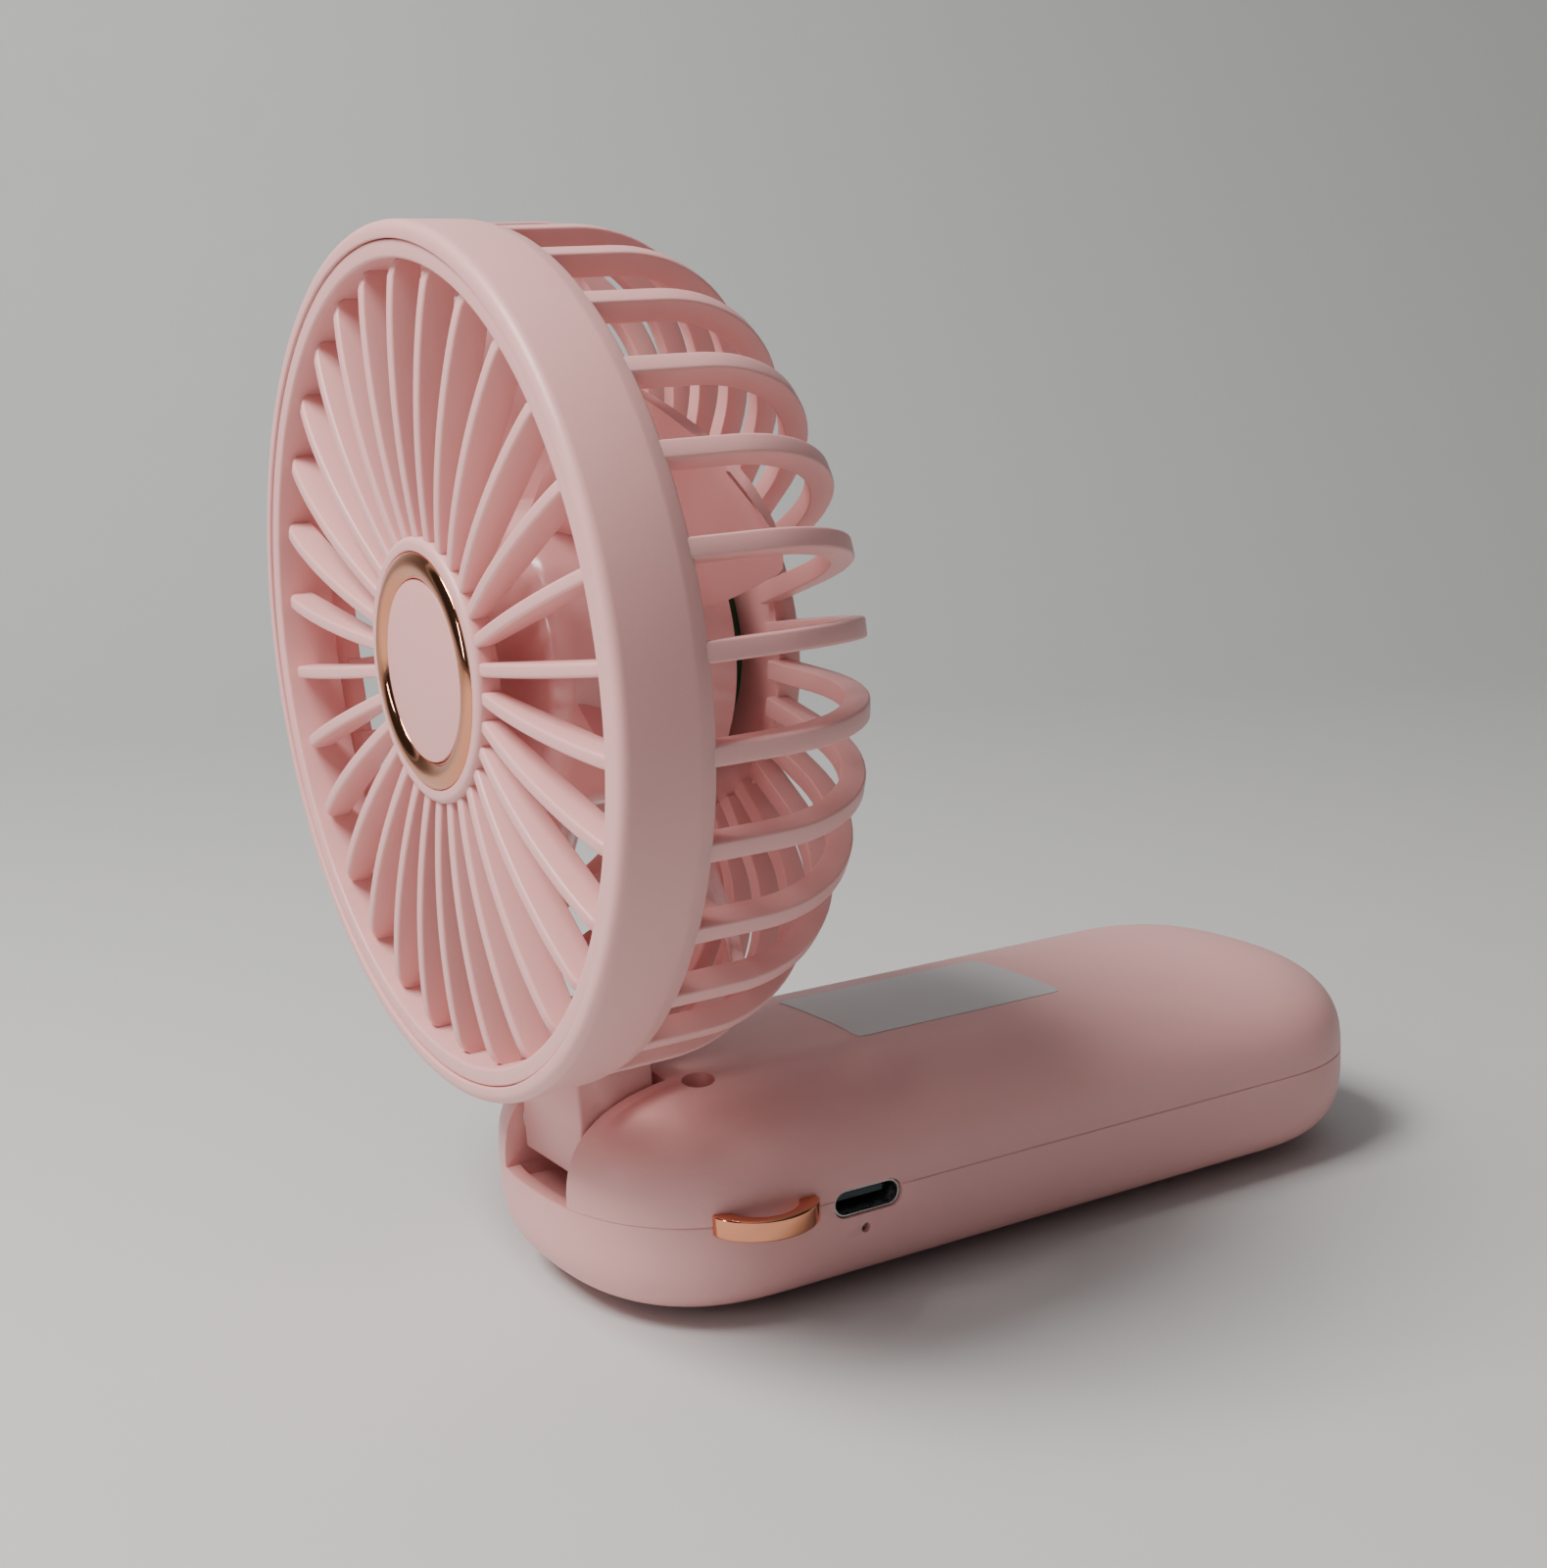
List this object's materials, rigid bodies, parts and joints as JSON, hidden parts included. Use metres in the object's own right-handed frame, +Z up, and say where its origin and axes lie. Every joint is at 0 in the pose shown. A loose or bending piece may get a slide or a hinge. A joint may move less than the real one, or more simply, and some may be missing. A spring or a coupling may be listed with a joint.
{
  "type": "handheld fan",
  "caption": "Folding battery fan: round caged head with impeller and motor, hinged on a pebble-shaped handle with charging socket, button and lanyard bar.",
  "frame": {"origin": "on the surface the fan rests on, under the middle of its bounding box, with the head folded upright", "axes": "+X along the handle from the hinge end to its free end, +Z up, -Y towards the side with the charging socket and the lanyard bar"},
  "size_m": [0.125, 0.0938, 0.1207],
  "materials": {
    "pink_shell": "fine satin moulded plastic",
    "pink_cage": "fine satin moulded plastic",
    "pink_blade": "glossy moulded plastic",
    "pink_button": "fine satin moulded plastic",
    "pink_satin": "flat satin plastic",
    "rose_gold": "rose gold plating",
    "rose_gold_bar": "rose gold plating",
    "label": "blank satin sticker",
    "steel_screw": "zinc plated",
    "steel_socket": "tinned",
    "black_plastic": "moulded",
    "light_guide": "clear moulded",
    "white_plastic": "moulded",
    "board": "solder mask",
    "cell_wrap": "shrink wrap",
    "lead_jacket": "soft jacket",
    "steel_pin": "ground",
    "nylon": "natural",
    "brass_sleeve": "turned",
    "steel_core": "stacked laminations",
    "copper": "enamelled copper winding",
    "steel_cup": "drawn",
    "magnet": "bonded ferrite"
  },
  "bodies": {
    "handle": {"back_shell": "pink_shell", "front_shell": "pink_shell", "lanyard_bar": "rose_gold_bar", "rating_label": "label", "case_screws": "steel_screw", "board_screws": "steel_screw", "usb_c_shell": "steel_socket", "usb_c_tongue": "black_plastic", "charge_light": "light_guide", "charge_led": "white_plastic", "main_board": "board", "switch_body": "black_plastic", "battery_cell": "cell_wrap", "battery_tabs": "steel_socket", "battery_lead_plus": "lead_jacket", "battery_lead_minus": "lead_jacket", "handle_lead": "lead_jacket", "hinge_pin": "steel_pin", "hinge_tube": "steel_pin", "hinge_washers": "nylon"},
    "button": {"power_button": "pink_button", "switch_plunger": "black_plastic"},
    "head": {"rear_cage": "pink_cage", "rear_hub_cap": "pink_cage", "front_grille": "pink_cage", "centre_ring": "rose_gold", "centre_cap": "pink_satin", "bearing_sleeve": "brass_sleeve", "front_bearing": "steel_pin", "rear_bearing": "steel_pin", "stator_core": "steel_core", "stator_coils": "copper", "motor_driver_board": "board", "motor_lead": "lead_jacket"},
    "rotor": {"impeller": "pink_blade", "rotor_cup": "steel_cup", "rotor_magnet": "magnet", "motor_shaft": "steel_pin", "shaft_clip": "nylon"}
  },
  "joints": [
    {"name": "head_fold", "type": "hinge", "parent": "handle", "child": "head", "pos_m": [-0.04585, 0, 0.019], "axis": [0, 1, 0], "range_deg": [-88.76, 0]},
    {"name": "fan_spin", "type": "hinge", "parent": "head", "child": "rotor", "pos_m": [-0.06125, 0, 0.0738], "axis": [0.9998, 0, 0.0216], "continuous": true},
    {"name": "power_button_press", "type": "slide", "parent": "handle", "child": "button", "axis": [0, 0, 1], "range_m": [0, 0.0004], "stiffness_N_per_m": 2500, "springref_m": -0.0002}
  ]
}
